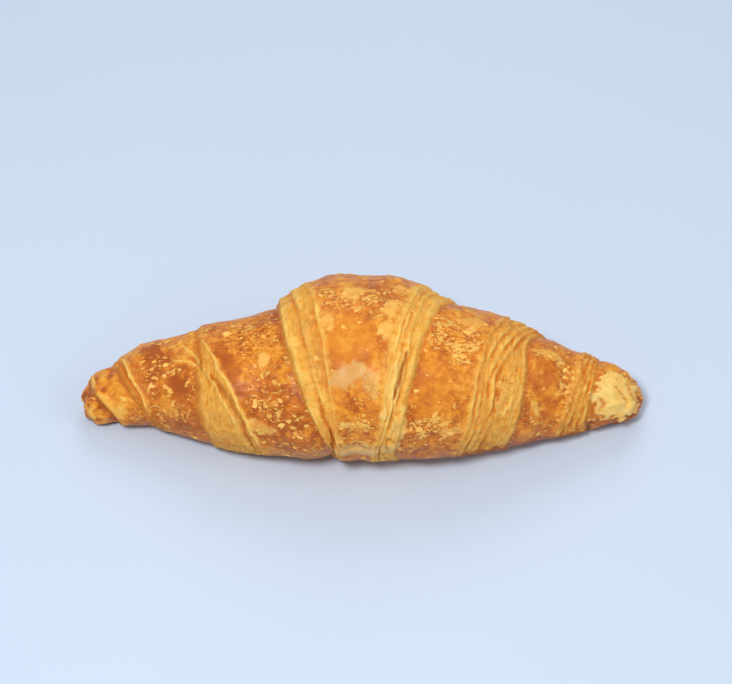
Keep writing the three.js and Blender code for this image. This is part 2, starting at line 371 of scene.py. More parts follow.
def blunt(x):
    """1 along the body, falling to 0 at each tip as the end of an ellipse does."""
    rounding = np.where(x < 0, TIP_ROUNDING[-1], TIP_ROUNDING[1])
    past = np.clip((np.abs(x) - HALF_LENGTH + rounding) / rounding, 0, 1)
    return np.sqrt(1 - past * past)


def surface(x, angle, raised):
    """The points of the body's surface, raised by so much over its plain line."""
    width = curve(HALF_WIDTH, x)
    height = 2 * width * curve(HEIGHT_SHARE, x)
    across, up = np.cos(np.radians(angle)), np.sin(np.radians(angle))
    reach = height * np.where(up > 0, SECTION_TOP, SECTION_SAG)
    y = curve(BEND, x) - (width + raised) * blunt(x) * across
    z = height * (1 - SECTION_TOP) + (reach + raised) * blunt(x) * up
    return np.stack([x + 0 * y, y, z], -1)


def ring(angle, turns, seed):
    """Noise that closes on itself round the section."""
    a = np.radians(angle)
    return noise(np.stack([np.cos(a) * turns, np.sin(a) * turns, 0 * a + seed * 3.7], -1), 1, seed)


def foot_of(wrap, angle):
    """How far out a wrap's foot lies at each angle, straying a little from its smooth line."""
    seed = 50 + WRAPS.index(wrap)
    wander = FOOT_WANDER * ring(angle, 2.5, seed) + 0.25 * ring(angle, 7, seed + 20)
    return around(wrap["foot"], angle) + wander * min(1, wrap["band"][1] / 4)


def columns(angle):
    """The places along X of every column at each angle. They follow the rims and feet of the wraps."""
    left = [w for w in WRAPS if w["side"] < 0][::-1]
    right = [w for w in WRAPS if w["side"] > 0]
    keys = [0 * angle - HALF_LENGTH]
    for wrap in left:
        foot = foot_of(wrap, angle)
        keys += [-foot, around(wrap["band"], angle) - foot]
    for wrap in right:
        foot = foot_of(wrap, angle)
        keys += [foot - around(wrap["band"], angle), foot]
    keys.append(0 * angle + HALF_LENGTH)
    places = []
    for k, count in enumerate(SPANS):
        t = np.arange(count) / count
        t = t * t if k == 0 else t * (2 - t) if k == len(SPANS) - 1 else t
        places.append(keys[k] + (keys[k + 1] - keys[k]) * t)
    return np.concatenate(places, axis=1)[:, 1:]


def shares(value, angle):
    """A value at each angle, from one number for all round or one at each station."""
    return around(value, angle) if isinstance(value, list) else value + 0 * angle


def rim_and_crease(wrap, out, inward, band, strength):
    """The relief inside a wrap's rim and outside its foot, where it dies away."""
    near = smoothstep(-MIDDLE_BLEND, MIDDLE_BLEND, out)
    rim = strength * wrap["rise"] * np.exp(np.minimum(0, (band - inward) / RIM_FADE)) * near
    crease = -strength * wrap["dip"] * np.exp(np.minimum(0, inward / CREASE_FADE))
    return rim, crease


def stepped_edge(wrap, angle, inward, band, sizes):
    """A wrap's edge, leaf by leaf: its climb from 0 to 1, the height that the leaves' beads and gaps add,
    how far they hang out, the valleys between them, darkened with stain and painted shade, and their pale
    ridges."""
    seed = 80 + 10 * WRAPS.index(wrap)
    leaves = wrap["leaves"]
    stepped = STEP_SHARE if leaves else 0
    lip_run = shares(wrap["ease"], angle)
    climb = wrap["lip"] * smoothstep(0, lip_run, inward)
    climb += (1 - wrap["lip"]) * (1 - stepped) * np.clip(inward / band, 0, 1)
    detail, hang, valley, ridge = (np.zeros_like(inward) for _ in range(4))
    for k, (share, stain_and_shade, wide) in enumerate([(0, wrap["foot_shade"], 0), *leaves]):
        waver = LEAF_WANDER * ring(angle, 2.5, seed + k) + 0.35 * ring(angle, 9, seed + k + 5)
        edge = inward - shares(share, angle) * band - (waver if k else 0)
        ease = LEAF_EASE if k else lip_run
        over = smoothstep(-0.3 * ease, ease, edge)
        life = np.clip(0.65 + 1.2 * ring(angle, 3.1, seed + k + 40), 0.15, 1.3)
        # The valleys are darkened: on the lip at the foot with painted shade, and between leaves with stain
        # and painted shade.
        valley_offset = (edge + 0.4) / wide if k else (edge - 0.3 * lip_run) / (0.8 * lip_run)
        valley = np.maximum(valley, stain_and_shade * np.clip(life + 0.2, 0.4, 1) * np.exp(-(valley_offset**2)))
        bead = np.exp(-np.maximum(edge, 0) / wrap["roll"])
        if k:
            climb += (1 - wrap["lip"]) * stepped / len(leaves) * over
            detail -= life * (1 - over) * sizes.groove * np.exp(np.minimum(edge, 0) / LEAF_GAP)
        detail += life * over * sizes.bead * bead
        hang += life * over * sizes.overhang * np.exp(-np.maximum(edge, 0) / HANG_FADE)
        ridge = np.maximum(ridge, life * over * bead)
    return climb, detail, hang, valley, ridge


def wrap_relief(x, angle, points, wrap, sizes):
    """One wrap's relief, and the values along it that its crust is coloured by."""
    seed = 80 + 10 * WRAPS.index(wrap)
    band = around(wrap["band"], angle)
    out = wrap["side"] * x
    inward = foot_of(wrap, angle) - out
    strength = shares(wrap["strength"], angle)
    rim, crease = rim_and_crease(wrap, out, inward, band, strength)
    climb, detail, hang, valley, ridge = stepped_edge(wrap, angle, inward, band, sizes)
    climbed = strength * (-wrap["dip"] + (wrap["rise"] + wrap["dip"]) * climb)
    inside = (inward >= 0) & (inward <= band)
    height = np.where(inside, climbed, np.where(inward > band, rim, crease))
    ragged = 0.9 * noise(points, 3.5, seed + 62) + 0.5 * noise(points, 1.4, seed + 63)
    soft = smoothstep(-0.3, 0.3, inward) * (1 - smoothstep(-1.2, 1.4, inward - band + ragged))
    across = np.stack([inward + 0.8 * noise(points, 5, seed + 60), points[..., 1], points[..., 2]], -1)
    sheets = 1 - 2 * np.abs(noise(across, (0.9, 7, 7), seed + 61))
    sheets = sheets + 0.6 * noise(across, (0.45, 3, 3), seed + 64)
    height += soft * wrap["sheets"] * sizes.sheet * sheets * (0.75 + 0.9 * noise(points, 6, seed + 65))
    height += soft * sizes.crumple * layered_noise(points, 2.8, seed + 70, 3)
    # Painted shade: a dark line along the crease at the wrap's foot.
    dark = wrap["line"] * np.clip(0.6 + 1.5 * ring(angle, 2.7, seed + 66), 0.1, 1.4)
    return {
        "height": height + strength * detail, "hang": wrap["side"] * hang, "layers": soft, "valley": valley,
        "edge_pale": soft * wrap["pale"] * np.clip(0.6 + 0.6 * ridge, 0, 1), "lined": soft * wrap["sheets"],
        "crease": dark * np.exp(-(((inward + 0.1) / CREASE_WIDTH) ** 2)), "inward": inward,
    }


def mark_mask(mark, edge, x, angle, ragged):
    """Where one mark lies, from 0 to 1, with an uneven edge."""
    mark_x, mark_angle, half_length, half_width, tilt, strength = mark
    u, v = x - mark_x, np.radians((angle - mark_angle + 180) % 360 - 180) * curve(HALF_WIDTH, x)
    cosine, sine = math.cos(math.radians(tilt)), math.sin(math.radians(tilt))
    u, v = u * cosine + v * sine, v * cosine - u * sine
    away = np.sqrt((u / half_length) ** 2 + (v / half_width) ** 2) + ragged
    return strength * (1 - smoothstep(*edge, away))


def marks_on(x, angle, plain):
    """Where each kind of mark lies, from 0 to 1."""
    ragged = 0.46 * noise(plain, 3.2, 301) + 0.3 * noise(plain, 1.3, 302)
    found = {}
    for kind, marks in MARKS.items():
        edge = SOFT_EDGE if kind in SOFT_KINDS else CRISP_EDGE
        found[kind] = np.max([mark_mask(mark, edge, x, angle, ragged) for mark in marks], axis=0)
    return found


def stroke_mask(stroke, x, angle, sway):
    """Where one stroke lies, from 0 to 1. It wavers a little and thins towards its ends."""
    _, path, half_width, _ = stroke
    radius = curve(HALF_WIDTH, x)
    nearest, progress = np.full_like(x, 99.0), np.zeros_like(x)
    for k, ((xa, aa), (xb, ab)) in enumerate(zip(path, path[1:])):
        u, v = x + sway - xa, np.radians((angle - aa + 180) % 360 - 180) * radius
        du, dv = xb - xa, np.radians(ab - aa) * radius
        t = np.clip((u * du + v * dv) / (du * du + dv * dv), 0, 1)
        away = np.hypot(u - t * du, v - t * dv)
        progress = np.where(away < nearest, (k + t) / (len(path) - 1), progress)
        nearest = np.minimum(nearest, away)
    width = half_width * (0.4 + 0.6 * np.sin(np.pi * progress))
    return np.exp(-((nearest / width) ** 2))


def add_crust_relief(height, plain, found, calm, layers, at_tip, sizes):
    """Adds the crust's own swellings, ripples, crumbs and lifted patches to a height."""
    face = 1 - layers
    lumps = layered_noise(plain, 13, 11, 2) + 0.45 * noise(plain, 4.5, 14)
    height += sizes.lump * lumps * (0.5 + 0.5 * face)
    ripple = 1 - 2 * np.abs(noise(plain, (7, 1.7, 1.7), 21))
    patchy = smoothstep(-0.1, 0.5, noise(plain, 11, 22)) * 0.6 + found["ripples"]
    height += sizes.wrinkle * ripple * patchy * (0.15 + 0.85 * face) * (1 - 0.8 * calm)
    height += sizes.crumb * layered_noise(plain, 1.6, 24, 2) * (1 - 0.7 * calm)
    height += sizes.tip_lump * at_tip * (layered_noise(plain, 3.6, 27, 3) + 0.2)
    height += sizes.dome * found["cream"]
    height += sizes.blister * (0.6 * found["pale"] + 0.5 * found["cloud"])


def add_strokes(height, crease, valley, x, angle, plain):
    """Draws the strokes into a height. Gives back the creases and valleys with them, and their ridges."""
    ridge = np.zeros_like(x)
    sway = 0.5 * noise(plain, 4, 311) + 0.3 * noise(plain, 1.7, 312)
    for stroke in STROKES:
        kind, _, _, raised = stroke
        mask = stroke_mask(stroke, x, angle, sway)
        height += raised * mask
        # Painted shade: a cut darkens the crease colour along it, and a valley adds stain and painted shade.
        if kind == "cut":
            crease = np.maximum(crease, mask * min(1, -raised))
        elif kind == "valley":
            valley = np.maximum(valley, mask)
        elif kind == "ridge":
            ridge = np.maximum(ridge, mask)
    return crease, valley * (1 - 0.8 * ridge), ridge


def spread_along(values, axis, times):
    """Values evened out with their neighbours along one axis. Rows close round the section, columns end."""
    for _ in range(times):
        if axis == 0:
            values = (np.roll(values, 1, 0) + np.roll(values, -1, 0) + 2 * values) / 4
        else:
            ends = np.pad(values, ((0, 0), (1, 1)), mode="edge")
            values = (ends[:, :-2] + ends[:, 2:] + 2 * values) / 4
    return values


def browning_and_shade_of(angle, plain, found, calm, layers, crowd, under, hollow, at_tip):
    """How far the crust is baked at each point, from 0 for pale to 1 for dark, with painted shade added in
    its hollows, low on its front side and along the underside.
    """
    top = smoothstep(0.2, 0.95, np.sin(np.radians(angle)))
    bake_and_shade = MEAN_BAKE + TOP_BROWNING * top + BROAD_BROWNING * layered_noise(plain, 11, 61, 2)
    bake_and_shade += PATCH_BROWNING * noise(plain, 2.8, 65) * (1 - 0.5 * calm) + SPOT_BROWNING * noise(plain, 5, 68)
    bake_and_shade += DEEP_BROWNING_AND_SHADE * found["deep"] - GOLD_PALING * found["gold"] + UNDER_BROWNING * under
    bake_and_shade += CROWD_BROWNING * np.clip(crowd - 0.5, 0, 1) + SCORCH_BROWNING_AND_SHADE * found["scorch_and_shade"]
    bake_and_shade += HOLLOW_SHADE * np.clip(hollow, -0.4, 0.4) * (1 - layers)
    return bake_and_shade + TIP_BROWNING * at_tip + LOW_SIDE_SHADE * (1 - smoothstep(-30, 32, (angle + 90) % 360 - 90))


def bake_shape(sizes):
    """The croissant's surface points, row by row, and the values that its crust is coloured by."""
    angle = np.concatenate([np.linspace(*rows, endpoint=False) for rows in (SHOWN_ROWS, BASE_ROWS)])[:, None]
    x = columns(angle)
    angle = angle + 0 * x
    plain = surface(x, angle, 0 * x)
    wraps = [wrap_relief(x, angle, plain, wrap, sizes) for wrap in WRAPS]
    height = sum(wrap["height"] for wrap in wraps)
    hang = sum(wrap["hang"] for wrap in wraps)
    layers, lined, valley, edge_pale, crease = (
        np.max([wrap[name] for wrap in wraps], axis=0)
        for name in ("layers", "lined", "valley", "edge_pale", "crease")
    )
    inwards = np.array([wrap["inward"] for wrap in wraps])
    across = np.take_along_axis(inwards, np.abs(inwards).argmin(0)[None], 0)[0]
    shown = showing(angle)
    found = marks_on(x, angle, plain)
    calm = found["smooth"] * (1 - 0.6 * layers)
    edge_pale = edge_pale * (1 - found["deep"]) * (1 - found["scorch_and_shade"])
    crowd = 0.55 + 0.5 * noise(plain, 9, 44) + 0.9 * found["flecks"]
    crowd = np.clip(crowd - calm - 0.5 * found["scorch_and_shade"] - 0.25 * layers, 0, 1.4)

    at_tip = smoothstep(*TIP_LUMPS, np.abs(x))
    add_crust_relief(height, plain, found, calm, layers, at_tip, sizes)
    height = (height - SETTLE) * (shown * 0.9 + 0.1)
    crease, valley, ridge = add_strokes(height, crease, valley, x, angle, plain)
    # Painted shade: the hollows of the relief darken the crust, and give the leaves their valley colour
    # there.
    along, round_section = HOLLOW_REACH
    hollow = spread_along(spread_along(height, 1, along), 0, round_section) - height
    valley = np.maximum(valley, np.clip(1.8 * hollow - 0.1, 0, 0.7) * layers)

    points = surface(x + hang * shown * blunt(x), angle, height)
    end_lumps = sizes.tip_lump * (layered_noise(plain, 4, 33, 3) - 0.6)
    points[..., 0] += np.sign(x) * smoothstep(*TIP_RAGGED, np.abs(x)) * end_lumps
    z = points[..., 2]
    points[..., 2] = 0.5 * (z + np.sqrt(z * z + BASE_ROUNDING))
    under = 1 - smoothstep(0.5, 3.0, points[..., 2])
    values = {
        "bake_and_shade": browning_and_shade_of(angle, plain, found, calm, layers, crowd, under, hollow, at_tip),
        "layers": layers * shown, "lined": lined * shown, "edge_pale": np.maximum(edge_pale, ridge) * shown,
        "crease": crease * shown, "valley": valley * shown, "across": across, "pale": found["pale"],
        "crowd": crowd * shown, "ripples": found["ripples"], "cloud": found["cloud"],
        "cream": found["cream"], "specks": found["specks"] * shown, "under": under, "calm": calm,
        # Painted light: how far a point stands above its neighbours; the leaves are drawn paler there.
        "raised": np.clip(-3 * hollow, 0, 1),
    }
    return points, values


def mesh_object(name, verts, faces):
    mesh = bpy.data.meshes.new(name)
    mesh.from_pydata(verts, [], faces)
    mesh.shade_smooth()
    obj = bpy.data.objects.new(name, mesh)
    bpy.context.scene.collection.objects.link(obj)
    return obj


def into_frame(points):
    """Millimetres to metres, with the form's middle over the solid's and its base level with the solid's."""
    middle = [(LOW[k] + HIGH[k]) / 2 / MM for k in (0, 1)]
    shift = np.array([
        middle[0] - (points[..., 0].min() + points[..., 0].max()) / 2,
        middle[1] - (points[..., 1].min() + points[..., 1].max()) / 2,
        LOW[2] / MM - points[..., 2].min(),
    ])
    return (points + shift) * MM


def make_body(sizes):
    """The croissant's closed crust, with the values that colour it as attributes."""
    points, values = bake_shape(sizes)
    rows, count = points.shape[:2]
    flat = into_frame(points)
    tips = [flat[:, 0].mean(0), flat[:, -1].mean(0)]
    verts = np.concatenate([flat.reshape(-1, 3), tips])
    left, right = rows * count, rows * count + 1
    faces = []
    for row in range(rows):
        here, there = row * count, (row + 1) % rows * count
        faces.append((left, here, there))
        faces.append((right, there + count - 1, here + count - 1))
        faces += [(here + i, here + i + 1, there + i + 1, there + i) for i in range(count - 1)]
    obj = mesh_object("croissant_crust", verts.tolist(), faces)
    for name, value in values.items():
        ends = [value[:, 0].mean(), value[:, -1].mean()]
        layer = obj.data.attributes.new(name, "FLOAT", "POINT")
        layer.data.foreach_set("value", np.concatenate([value.ravel(), ends]).astype(np.float32))
    return obj


# Materials. Their patterns' scales are in repeats per metre.

# The values along the crust that its material reads.
CRUST_VALUES = (
    "bake_and_shade", "layers", "lined", "edge_pale", "crease", "valley", "across", "pale", "crowd", "ripples",
    "cloud", "cream", "calm", "raised", "specks",
)
CRUST_BUMP = 0.45  # height of the crust's bump, in millimetres
FLAKE_BUMP = 0.2  # and of the loose flakes'
LINES_ACROSS = 1.35  # how often the sheets' fine lines come across a band, per millimetre
LINES_ALONG = 190.0  # how often they change along it, per metre


def node(tree, kind, place, **settings):
    made = tree.nodes.new(kind)
    made.location = place
    for name, value in settings.items():
        setattr(made, name, value)
    return made


def maths(tree, operation, a, b, place, clamp=False):
    """A maths node. Each side is a socket or a number."""
    made = node(tree, "ShaderNodeMath", place, operation=operation, use_clamp=clamp)
    for socket, value in zip(made.inputs, (a, b)):
        if isinstance(value, (int, float)):
            socket.default_value = value
        else:
            tree.links.new(value, socket)
    return made.outputs[0]


def added(tree, a, b, place, clamp=False):
    return maths(tree, "ADD", a, b, place, clamp)


def less(tree, a, b, place):
    """a less b."""
    return maths(tree, "SUBTRACT", a, b, place)


def product(tree, a, b, place):
    return maths(tree, "MULTIPLY", a, b, place)


def larger(tree, a, b, place):
    return maths(tree, "MAXIMUM", a, b, place)


def mixed(tree, share, a, b, place):
    """Colour a with so much of colour b."""
    made = node(tree, "ShaderNodeMix", place, data_type="RGBA")
    for socket, value in ((made.inputs["Factor"], share), (made.inputs[6], a), (made.inputs[7], b)):
        if isinstance(value, (int, float, tuple)):
            socket.default_value = value
        else:
            tree.links.new(value, socket)
    return made.outputs[2]


def attribute(tree, name, place):
    return node(tree, "ShaderNodeAttribute", place, attribute_name=name).outputs["Fac"]


def group(name, inputs, outputs):
    tree = bpy.data.node_groups.new(name, "ShaderNodeTree")
    for label, kind, default in inputs:
        socket = tree.interface.new_socket(label, in_out="INPUT", socket_type=kind)
        if default is not None:
            socket.default_value = default
    for label, kind in outputs:
        tree.interface.new_socket(label, in_out="OUTPUT", socket_type=kind)
    return tree, node(tree, "NodeGroupInput", (-900, 0)), node(tree, "NodeGroupOutput", (700, 0))


def browning_group(colours):
    """Turns how far the dough is baked, from 0 to 1, into a colour."""
    tree, given, made = group("Browning", [("Bake", "NodeSocketFloat", 0.5)], [("Color", "NodeSocketColor")])
    ramp = node(tree, "ShaderNodeValToRGB", (0, 0))
    stops = [
        (0.0, colours.pale), (0.27, colours.golden), (0.52, colours.amber), (0.76, colours.deep),
        (1.0, colours.dark),
    ]
    for place, colour in stops[1:-1]:
        ramp.color_ramp.elements.new(place).color = (*colour, 1)
    ramp.color_ramp.elements[0].color = (*stops[0][1], 1)
    ramp.color_ramp.elements[-1].color = (*stops[-1][1], 1)
    tree.links.new(given.outputs["Bake"], ramp.inputs["Fac"])
    tree.links.new(ramp.outputs["Color"], made.inputs["Color"])
    return tree


def grain_group():
    """The fine grain of baked dough: a tone that varies about 0, and a height for bump."""
    outputs = [("Tone", "NodeSocketFloat"), ("Height", "NodeSocketFloat")]
    tree, given, made = group("Crust grain", [("Size", "NodeSocketFloat", 700.0)], outputs)
    coords = node(tree, "ShaderNodeTexCoord", (-900, 300)).outputs["Object"]
    fine = node(tree, "ShaderNodeTexNoise", (-500, 200))
    fine.inputs["Detail"].default_value = 6
    fine.inputs["Roughness"].default_value = 0.74
    broad = node(tree, "ShaderNodeTexNoise", (-500, -200))
    broad.inputs["Detail"].default_value = 3
    tree.links.new(coords, fine.inputs["Vector"])
    tree.links.new(coords, broad.inputs["Vector"])
    tree.links.new(given.outputs["Size"], fine.inputs["Scale"])
    broad_size = product(tree, given.outputs["Size"], 0.33, (-700, -200))
    tree.links.new(broad_size, broad.inputs["Scale"])
    both = added(tree, fine.outputs["Fac"], broad.outputs["Fac"], (-200, 0))
    tree.links.new(less(tree, both, 1.0, (0, 100)), made.inputs["Tone"])
    tree.links.new(product(tree, both, 0.5, (0, -100)), made.inputs["Height"])
    return tree


def placed(tree, shared, place):
    return node(tree, "ShaderNodeGroup", place, node_tree=shared)


def ranged(tree, value, low, high, place):
    """0 where the value is under low, 1 where it is over high, and between them in between."""
    made = node(tree, "ShaderNodeMapRange", place)
    made.inputs["From Min"].default_value = low
    made.inputs["From Max"].default_value = high
    tree.links.new(value, made.inputs["Value"])
    return made.outputs["Result"]


def noise_of(tree, vector, scale, detail, place, distortion=0.0):
    made = node(tree, "ShaderNodeTexNoise", place)
    made.inputs["Scale"].default_value = scale
    made.inputs["Detail"].default_value = detail
    made.inputs["Roughness"].default_value = 0.66
    made.inputs["Distortion"].default_value = distortion
    tree.links.new(vector, made.inputs["Vector"])
    return made.outputs["Fac"]


def sheet_lines(tree, across, coords):
    """The fine lines between the sheets of an edge, which run along it."""
    parts = node(tree, "ShaderNodeSeparateXYZ", (-2000, 500))
    tree.links.new(coords, parts.inputs[0])
    lines = node(tree, "ShaderNodeCombineXYZ", (-1600, 500))
    scaled = ((across, LINES_ACROSS), (parts.outputs[1], LINES_ALONG), (parts.outputs[2], LINES_ALONG))
    for k, (value, scale) in enumerate(scaled):
        tree.links.new(product(tree, value, scale, (-1800, 600 - 100 * k)), lines.inputs[k])
    return noise_of(tree, lines.outputs[0], 1.0, 4, (-1400, 500), 0.4)


def stretched(tree, vector, amount, place):
    """Coordinates that draw a texture out along X."""
    made = node(tree, "ShaderNodeMapping", place)
    made.inputs["Scale"].default_value = (amount, 1, 1)
    tree.links.new(vector, made.inputs["Vector"])
    return made.outputs[0]


def speckled(tree, coords):
    """Small lens-shaped specks of all sizes, wider than they are high."""
    spots = node(tree, "ShaderNodeTexVoronoi", (-1400, -1700))
    spots.inputs["Scale"].default_value = 430
    tree.links.new(stretched(tree, coords, 0.6, (-1600, -1700)), spots.inputs["Vector"])
    parts = node(tree, "ShaderNodeSeparateColor", (-1200, -1700))
    tree.links.new(spots.outputs["Color"], parts.inputs[0])
    reach = product(tree, parts.outputs[0], 0.3, (-1000, -1700))
    inside = less(tree, reach, spots.outputs["Distance"], (-900, -1700))
    return ranged(tree, inside, -0.03, 0.02, (-800, -1700))


def scales_and_halo(tree, crust, coords, busy):
    """Pale scales of two sizes with specks between them, the darker halo round them, and how far the larger
    ones stand up."""
    crowd = product(tree, crust["crowd"], 0.085, (-1300, -700))
    large = noise_of(tree, stretched(tree, coords, 0.6, (-1800, -700)), 380, 7, (-1400, -700), 0.5)
    large = added(tree, large, crowd, (-1200, -700))
    small = noise_of(tree, stretched(tree, coords, 0.5, (-1800, -900)), 1150, 4, (-1400, -900), 0.3)
    small = added(tree, small, crowd, (-1200, -900))
    large_scales = ranged(tree, large, 0.655, 0.67, (-1000, -700))
    small_scales = ranged(tree, small, 0.655, 0.675, (-1000, -900))
    scales = larger(tree, large_scales, small_scales, (-800, -800))
    bare = less(tree, 1.0, product(tree, crust["layers"], 0.35, (-900, -1000)), (-800, -1000))
    scales = product(tree, product(tree, scales, busy, (-700, -800)), bare, (-600, -800))
    specks = product(tree, speckled(tree, coords), crust["specks"], (-600, -1000))
    scales = larger(tree, scales, specks, (-500, -900))
    halo = product(tree, ranged(tree, large, 0.58, 0.655, (-1000, -1200)), busy, (-800, -1200))
    halo = product(tree, halo, bare, (-700, -1200))
    fine_halo = product(tree, ranged(tree, small, 0.57, 0.64, (-1000, -1400)), busy, (-800, -1400))
    halo = larger(tree, halo, product(tree, fine_halo, 0.6, (-700, -1400)), (-600, -1300))
    return scales, halo, ranged(tree, large, 0.6, 0.7, (-300, -850))


def crust_bake_and_shade(tree, crust, coords, tone, busy, sheets, halo):
    """How far the crust is baked, with the painted shade it carries: its own value, grain, fine lines,
    streaks on its ripples, and halos.
    """
    grained = product(tree, product(tree, tone, 1.05, (-1400, 100)), busy, (-1300, 100))
    bake_and_shade = added(tree, crust["bake_and_shade"], grained, (-1200, 100))
    lines = product(tree, less(tree, 0.5, sheets, (-1200, 600)), crust["lined"], (-1100, 600))
    bake_and_shade = added(tree, bake_and_shade, product(tree, lines, 0.6, (-1000, 600)), (-1000, 100))
    streaks = noise_of(tree, stretched(tree, coords, 0.3, (-1800, 900)), 1900, 3, (-1400, 900), 0.5)
    streaks = product(tree, ranged(tree, streaks, 0.53, 0.46, (-1200, 900)), crust["ripples"], (-1100, 900))
    bake_and_shade = added(tree, bake_and_shade, product(tree, streaks, 0.5, (-1000, 900)), (-900, 100))
    bake_and_shade = less(tree, bake_and_shade, product(tree, crust["ripples"], 0.2, (-900, 900)), (-850, 100))
    return added(tree, bake_and_shade, product(tree, halo, 0.24, (-500, -1200)), (-800, 100))


def leaf_colour(tree, crust, coords, sheets, colours):
    """The mottled colour of the layered edges, paler where they stand out, which is painted light."""
    mottle = product(tree, noise_of(tree, coords, 800, 4, (-1400, 700), 0.4), 0.6, (-1200, 700))
    mottle = added(tree, mottle, product(tree, sheets, 0.4, (-1200, 800)), (-1100, 700))
    # Painted light: the leaves are paler on their raised points.
    standing = product(tree, crust["raised"], 0.5, (-1000, 800))
    paler = added(tree, ranged(tree, mottle, 0.43, 0.57, (-1000, 700)), standing, (-1000, 600), True)
    return mixed(tree, paler, (*colours.layer_golden, 1), (*colours.layer_pale, 1), (-1000, 500))


def cream_colour(tree, coords, colours):
    """The patchy colour of dough that has stayed pale."""
    patchy = ranged(tree, noise_of(tree, coords, 260, 4, (-700, -1400), 0.6), 0.36, 0.54, (-500, -1400))
    return mixed(tree, patchy, (*colours.cream_shade, 1), (*colours.cream, 1), (-300, -1400))


def valley_stain_and_shade(tree, crust, tone, sheets):
    """How strongly the valleys, and the thin lines between the sheets, are darkened with stain and painted
    shade.
    """
    thin = product(tree, ranged(tree, sheets, 0.49, 0.37, (-900, 600)), crust["lined"], (-800, 600))
    thin = product(tree, thin, 0.7, (-700, 600))
    grained = product(tree, tone, crust["valley"], (-700, 400))
    return larger(tree, added(tree, crust["valley"], grained, (-600, 450), True), thin, (-550, 500))


def crust_normal(tree, crust, grain_height, sheets, standing):
    """The bump of the grain, the lifted scales and the sheets' fine lines."""
    lifted = product(tree, crust["pale"], 0.28, (-100, -850))
    lifted = larger(tree, lifted, product(tree, standing, 0.12, (-200, -850)), (0, -850))
    relief = added(tree, grain_height, lifted, (200, -850))
    ridges = product(tree, product(tree, sheets, crust["lined"], (0, -1000)), 0.9, (100, -1000))
    relief = added(tree, relief, ridges, (350, -850))
    bump = node(tree, "ShaderNodeBump", (500, -850))
    bump.inputs["Strength"].default_value = 1.0
    bump.inputs["Distance"].default_value = CRUST_BUMP * MM
    tree.links.new(relief, bump.inputs["Height"])
    return bump.outputs["Normal"]


def crust_material(colours, browning, grain):
    """The baked crust, its paler leaves, and the scales, stains and creases on them, with painted shade in
    the creases, valleys and hollows and painted light on the leaves' raised points.
    """
    material = new_material("baked_crust")
    tree = material.node_tree
    link = tree.links.new
    shader = tree.nodes["Principled BSDF"]
    shader.inputs["IOR"].default_value = 1.4
    shader.inputs["Specular IOR Level"].default_value = 0.24
    shader.inputs["Coat Roughness"].default_value = 0.3
    grains = placed(tree, grain, (-1600, 0))
    grains.inputs["Size"].default_value = 1500
    tone = grains.outputs["Tone"]
    crust = {name: attribute(tree, name, (-1900, -200 * k)) for k, name in enumerate(CRUST_VALUES)}
    coords = node(tree, "ShaderNodeTexCoord", (-2200, 300)).outputs["Object"]
    busy = less(tree, 1.0, product(tree, crust["calm"], 0.55, (-1700, -300)), (-1600, -300))
    sheets = sheet_lines(tree, crust["across"], coords)
    scales, halo, standing = scales_and_halo(tree, crust, coords, busy)

    brown = placed(tree, browning, (-700, 100))
    link(crust_bake_and_shade(tree, crust, coords, tone, busy, sheets, halo), brown.inputs["Bake"])
    layered = leaf_colour(tree, crust, coords, sheets, colours)
    colour = mixed(tree, crust["edge_pale"], brown.outputs["Color"], layered, (-600, 300))
    creamy = product(tree, crust["cream"], 0.9, (-700, 200))
    colour = mixed(tree, creamy, colour, cream_colour(tree, coords, colours), (-550, 300))
    # Stain and painted shade in the valleys and in the thin lines between the sheets.
    colour = mixed(tree, valley_stain_and_shade(tree, crust, tone, sheets), colour, (*colours.valley, 1), (-500, 300))
    worn = product(tree, product(tree, tone, 2.6, (-1000, -500)), crust["pale"], (-800, -500))
    pale = larger(tree, added(tree, crust["pale"], worn, (-600, -500), True), scales, (-400, -500))
    colour = mixed(tree, product(tree, pale, 0.8, (-300, -400)), colour, (*colours.fleck, 1), (-200, 200))
    cloudy = product(tree, crust["cloud"], 0.7, (-300, -300))
    colour = mixed(tree, cloudy, colour, (*colours.cloud, 1), (0, 200))
    # Painted shade in the creases.
    creased = product(tree, crust["crease"], 0.8, (-100, -200))
    link(mixed(tree, creased, colour, (*colours.crease, 1), (300, 200)), shader.inputs["Base Color"])

    matt = larger(tree, crust["layers"], pale, (0, -500))
    rough = added(tree, product(tree, matt, 0.24, (200, -500)), 0.36, (350, -500))
    link(rough, shader.inputs["Roughness"])
    glaze = product(tree, less(tree, 1.0, matt, (200, -650)), 0.15, (350, -650))
    link(glaze, shader.inputs["Coat Weight"])
    link(crust_normal(tree, crust, grains.outputs["Height"], sheets, standing), shader.inputs["Normal"])
    return material


def flake_material(colours, browning, grain):
    """Loose flakes, from pale to golden."""
    material = new_material("loose_flake")
    tree = material.node_tree
    shader = tree.nodes["Principled BSDF"]
    shader.inputs["Roughness"].default_value = 0.5
    shader.inputs["IOR"].default_value = 1.45
    grains = placed(tree, grain, (-900, 0))
    grains.inputs["Size"].default_value = 900
    brown = placed(tree, browning, (-400, 100))
    tone = product(tree, grains.outputs["Tone"], 0.8, (-700, 100))
    spread = product(tree, attribute(tree, "tint", (-900, -200)), 0.5, (-700, -200))
    tree.links.new(added(tree, tone, spread, (-550, 100)), brown.inputs["Bake"])
    colour = mixed(tree, 0.35, brown.outputs["Color"], (*colours.fleck, 1), (-200, 100))
    tree.links.new(colour, shader.inputs["Base Color"])
    bump = node(tree, "ShaderNodeBump", (-200, -300))
    bump.inputs["Strength"].default_value = 0.5
    bump.inputs["Distance"].default_value = FLAKE_BUMP * MM
    tree.links.new(grains.outputs["Height"], bump.inputs["Height"])
    tree.links.new(bump.outputs["Normal"], shader.inputs["Normal"])
    return material


